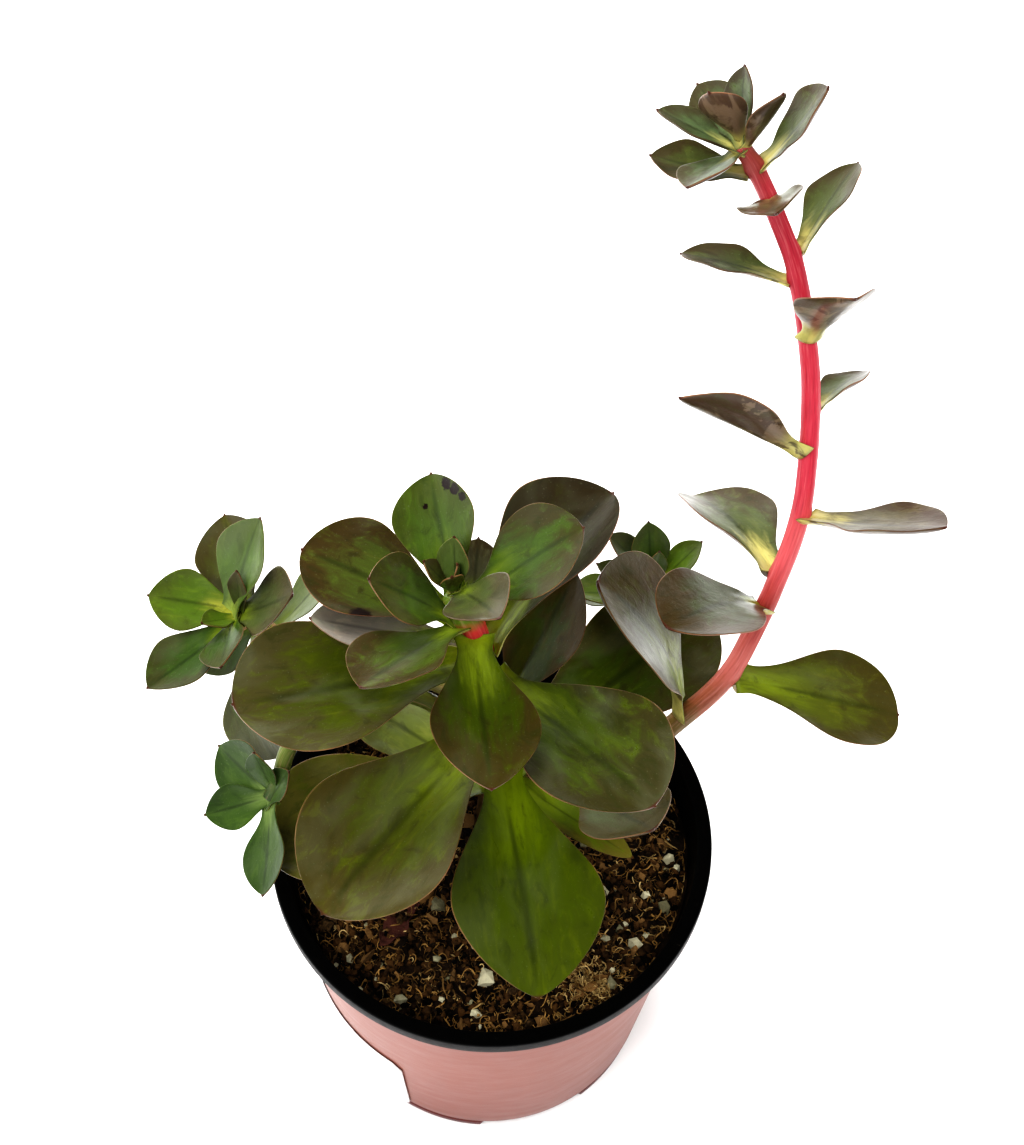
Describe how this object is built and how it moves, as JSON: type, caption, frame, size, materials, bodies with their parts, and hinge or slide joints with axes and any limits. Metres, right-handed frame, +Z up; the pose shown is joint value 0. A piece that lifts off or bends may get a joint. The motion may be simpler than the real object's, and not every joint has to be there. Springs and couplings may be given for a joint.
{
  "type": "potted echeveria",
  "caption": "Leggy echeveria rosette of spoon-shaped fleshy leaves with a tall leafy flower stalk and side offsets, growing in soil in a round tapered nursery pot.",
  "frame": {"origin": "on the pot's axis, at the surface that the pot stands on", "axes": "+Z up along the pot's axis, -Y towards the front, where the longest leaf hangs over the rim, +X towards the flower stalk"},
  "size_m": [0.1863, 0.1714, 0.2385],
  "materials": {
    "leaf": "smooth waxy",
    "young_leaf": "smooth waxy",
    "stem": "smooth fleshy",
    "pot": "satin moulded",
    "label": "satin paper",
    "soil": "loose coir and perlite mix",
    "dry_leaf": "dry and wrinkled"
  },
  "bodies": {
    "root": {"crown": "young_leaf", "dry_leaf": "dry_leaf", "flower_stalk": "stem", "label": "label", "leaf_back_upper": "leaf", "leaf_crown_left": "leaf", "leaf_front_inner": "leaf", "leaf_front_left": "leaf", "leaf_front_long": "leaf", "leaf_hanging": "leaf", "leaf_left_behind": "leaf", "leaf_left_hidden": "leaf", "leaf_left_inner": "leaf", "leaf_left_lower": "leaf", "leaf_left_upper": "leaf", "leaf_left_wide": "leaf", "leaf_right_back": "leaf", "leaf_right_front": "leaf", "leaf_right_inner": "leaf", "leaf_right_low_narrow": "leaf", "leaf_right_lower": "leaf", "leaf_right_steep": "leaf", "leaf_right_wide": "leaf", "leaf_top": "leaf", "main_stem": "stem", "offset_back": "young_leaf", "offset_left": "young_leaf", "offset_low": "young_leaf", "pot": "pot", "soil": "soil", "stalk_head": "young_leaf", "stalk_leaf_a": "leaf", "stalk_leaf_b": "leaf", "stalk_leaf_c": "leaf", "stalk_leaf_d": "leaf", "stalk_leaf_e": "leaf", "stalk_leaf_f": "leaf", "stalk_leaf_g": "leaf", "stalk_leaf_h": "leaf", "stalk_leaf_i": "leaf", "stalk_leaf_j": "leaf", "stalk_leaf_k": "leaf", "stalk_leaf_l": "leaf", "stalk_leaf_m": "leaf"}
  },
  "joints": []
}
